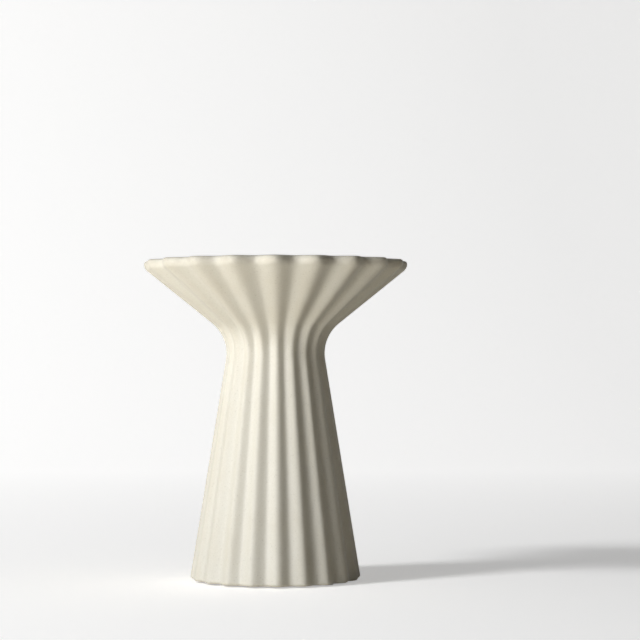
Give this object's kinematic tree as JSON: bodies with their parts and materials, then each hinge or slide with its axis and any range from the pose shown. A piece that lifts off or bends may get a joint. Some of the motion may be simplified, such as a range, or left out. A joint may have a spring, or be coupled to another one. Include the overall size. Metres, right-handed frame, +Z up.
{
  "type": "fan vase",
  "caption": "Fluted stoneware vase: a slender cone narrows to a waist and opens into a wide scalloped mouth, on small stick-on foot pads.",
  "frame": {"origin": "on the vase's axis, at the height of the table it stands on", "axes": "+Z up along the vase's axis; one flute crest faces -Y, the front"},
  "size_m": [0.174, 0.174, 0.21],
  "materials": {
    "stoneware": "matt cream glaze, fine speckle",
    "pad_silicone": "milky, satin"
  },
  "bodies": {
    "root": {"vase_body": "stoneware", "foot_pad_1": "pad_silicone", "foot_pad_2": "pad_silicone", "foot_pad_3": "pad_silicone", "foot_pad_4": "pad_silicone"}
  },
  "joints": []
}
